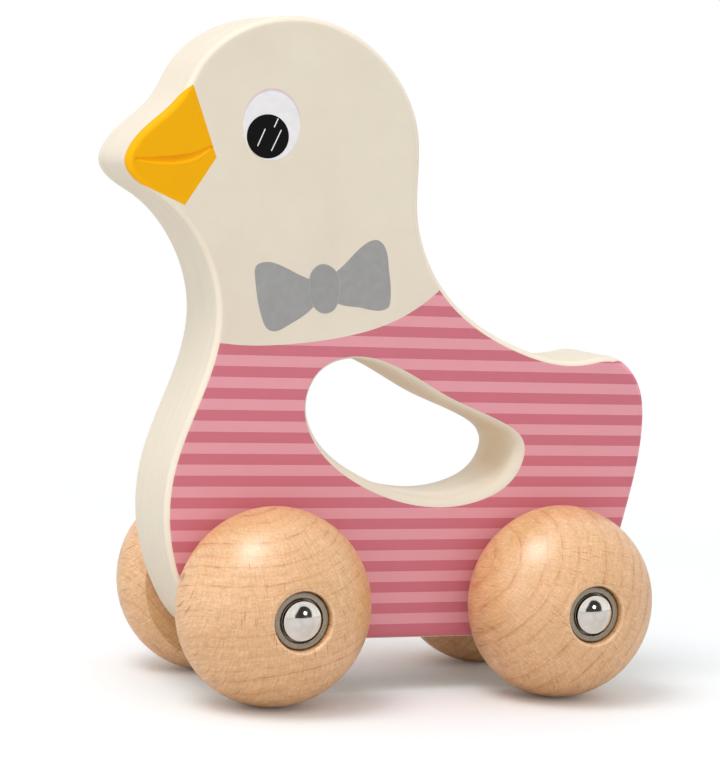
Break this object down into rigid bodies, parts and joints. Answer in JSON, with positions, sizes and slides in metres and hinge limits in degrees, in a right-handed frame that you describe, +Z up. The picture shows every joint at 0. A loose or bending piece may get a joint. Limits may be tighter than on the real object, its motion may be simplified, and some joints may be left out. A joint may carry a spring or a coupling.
{
  "type": "push-along bird",
  "caption": "Flat wooden bird with a grip hole through its board, rolling on turned ball wheels held on steel axles by domed caps.",
  "frame": {"origin": "on the floor, under the middle of the toy's bounding box", "axes": "+X towards the tail, +Y to the bird's right, +Z up"},
  "size_m": [0.1036, 0.0604, 0.1195],
  "materials": {
    "painted_board": "satin paint, printed stripes on both faces",
    "beech_wheel": "turned beech under clear satin lacquer",
    "axle_steel": "drawn bright steel rod",
    "cap_steel": "pressed and polished",
    "washer_steel": "dull plated steel",
    "spacer_steel": "dull plated steel",
    "spring_steel": "hardened and oiled"
  },
  "bodies": {
    "body": {"body": "painted_board"},
    "front_axle": {"front_axle": "axle_steel", "front_left_spacer": "spacer_steel", "front_left_washer": "washer_steel", "front_left_cap": "cap_steel", "front_left_clip": "spring_steel", "front_right_spacer": "spacer_steel", "front_right_washer": "washer_steel", "front_right_cap": "cap_steel", "front_right_clip": "spring_steel"},
    "front_left_wheel": {"front_left_wheel": "beech_wheel"},
    "front_right_wheel": {"front_right_wheel": "beech_wheel"},
    "rear_axle": {"rear_axle": "axle_steel", "rear_left_spacer": "spacer_steel", "rear_left_washer": "washer_steel", "rear_left_cap": "cap_steel", "rear_left_clip": "spring_steel", "rear_right_spacer": "spacer_steel", "rear_right_washer": "washer_steel", "rear_right_cap": "cap_steel", "rear_right_clip": "spring_steel"},
    "rear_left_wheel": {"rear_left_wheel": "beech_wheel"},
    "rear_right_wheel": {"rear_right_wheel": "beech_wheel"}
  },
  "joints": [
    {"name": "front_axle_turn", "type": "hinge", "parent": "body", "child": "front_axle", "pos_m": [-0.0238, 0, 0.0175], "axis": [0, 1, 0], "continuous": true},
    {"name": "front_left_wheel_spin", "type": "hinge", "parent": "front_axle", "child": "front_left_wheel", "pos_m": [-0.0238, 0, 0.0175], "axis": [0, 1, 0], "continuous": true},
    {"name": "front_right_wheel_spin", "type": "hinge", "parent": "front_axle", "child": "front_right_wheel", "pos_m": [-0.0238, 0, 0.0175], "axis": [0, 1, 0], "continuous": true},
    {"name": "rear_axle_turn", "type": "hinge", "parent": "body", "child": "rear_axle", "pos_m": [0.0322, 0, 0.0175], "axis": [0, 1, 0], "continuous": true},
    {"name": "rear_left_wheel_spin", "type": "hinge", "parent": "rear_axle", "child": "rear_left_wheel", "pos_m": [0.0322, 0, 0.0175], "axis": [0, 1, 0], "continuous": true},
    {"name": "rear_right_wheel_spin", "type": "hinge", "parent": "rear_axle", "child": "rear_right_wheel", "pos_m": [0.0322, 0, 0.0175], "axis": [0, 1, 0], "continuous": true}
  ]
}
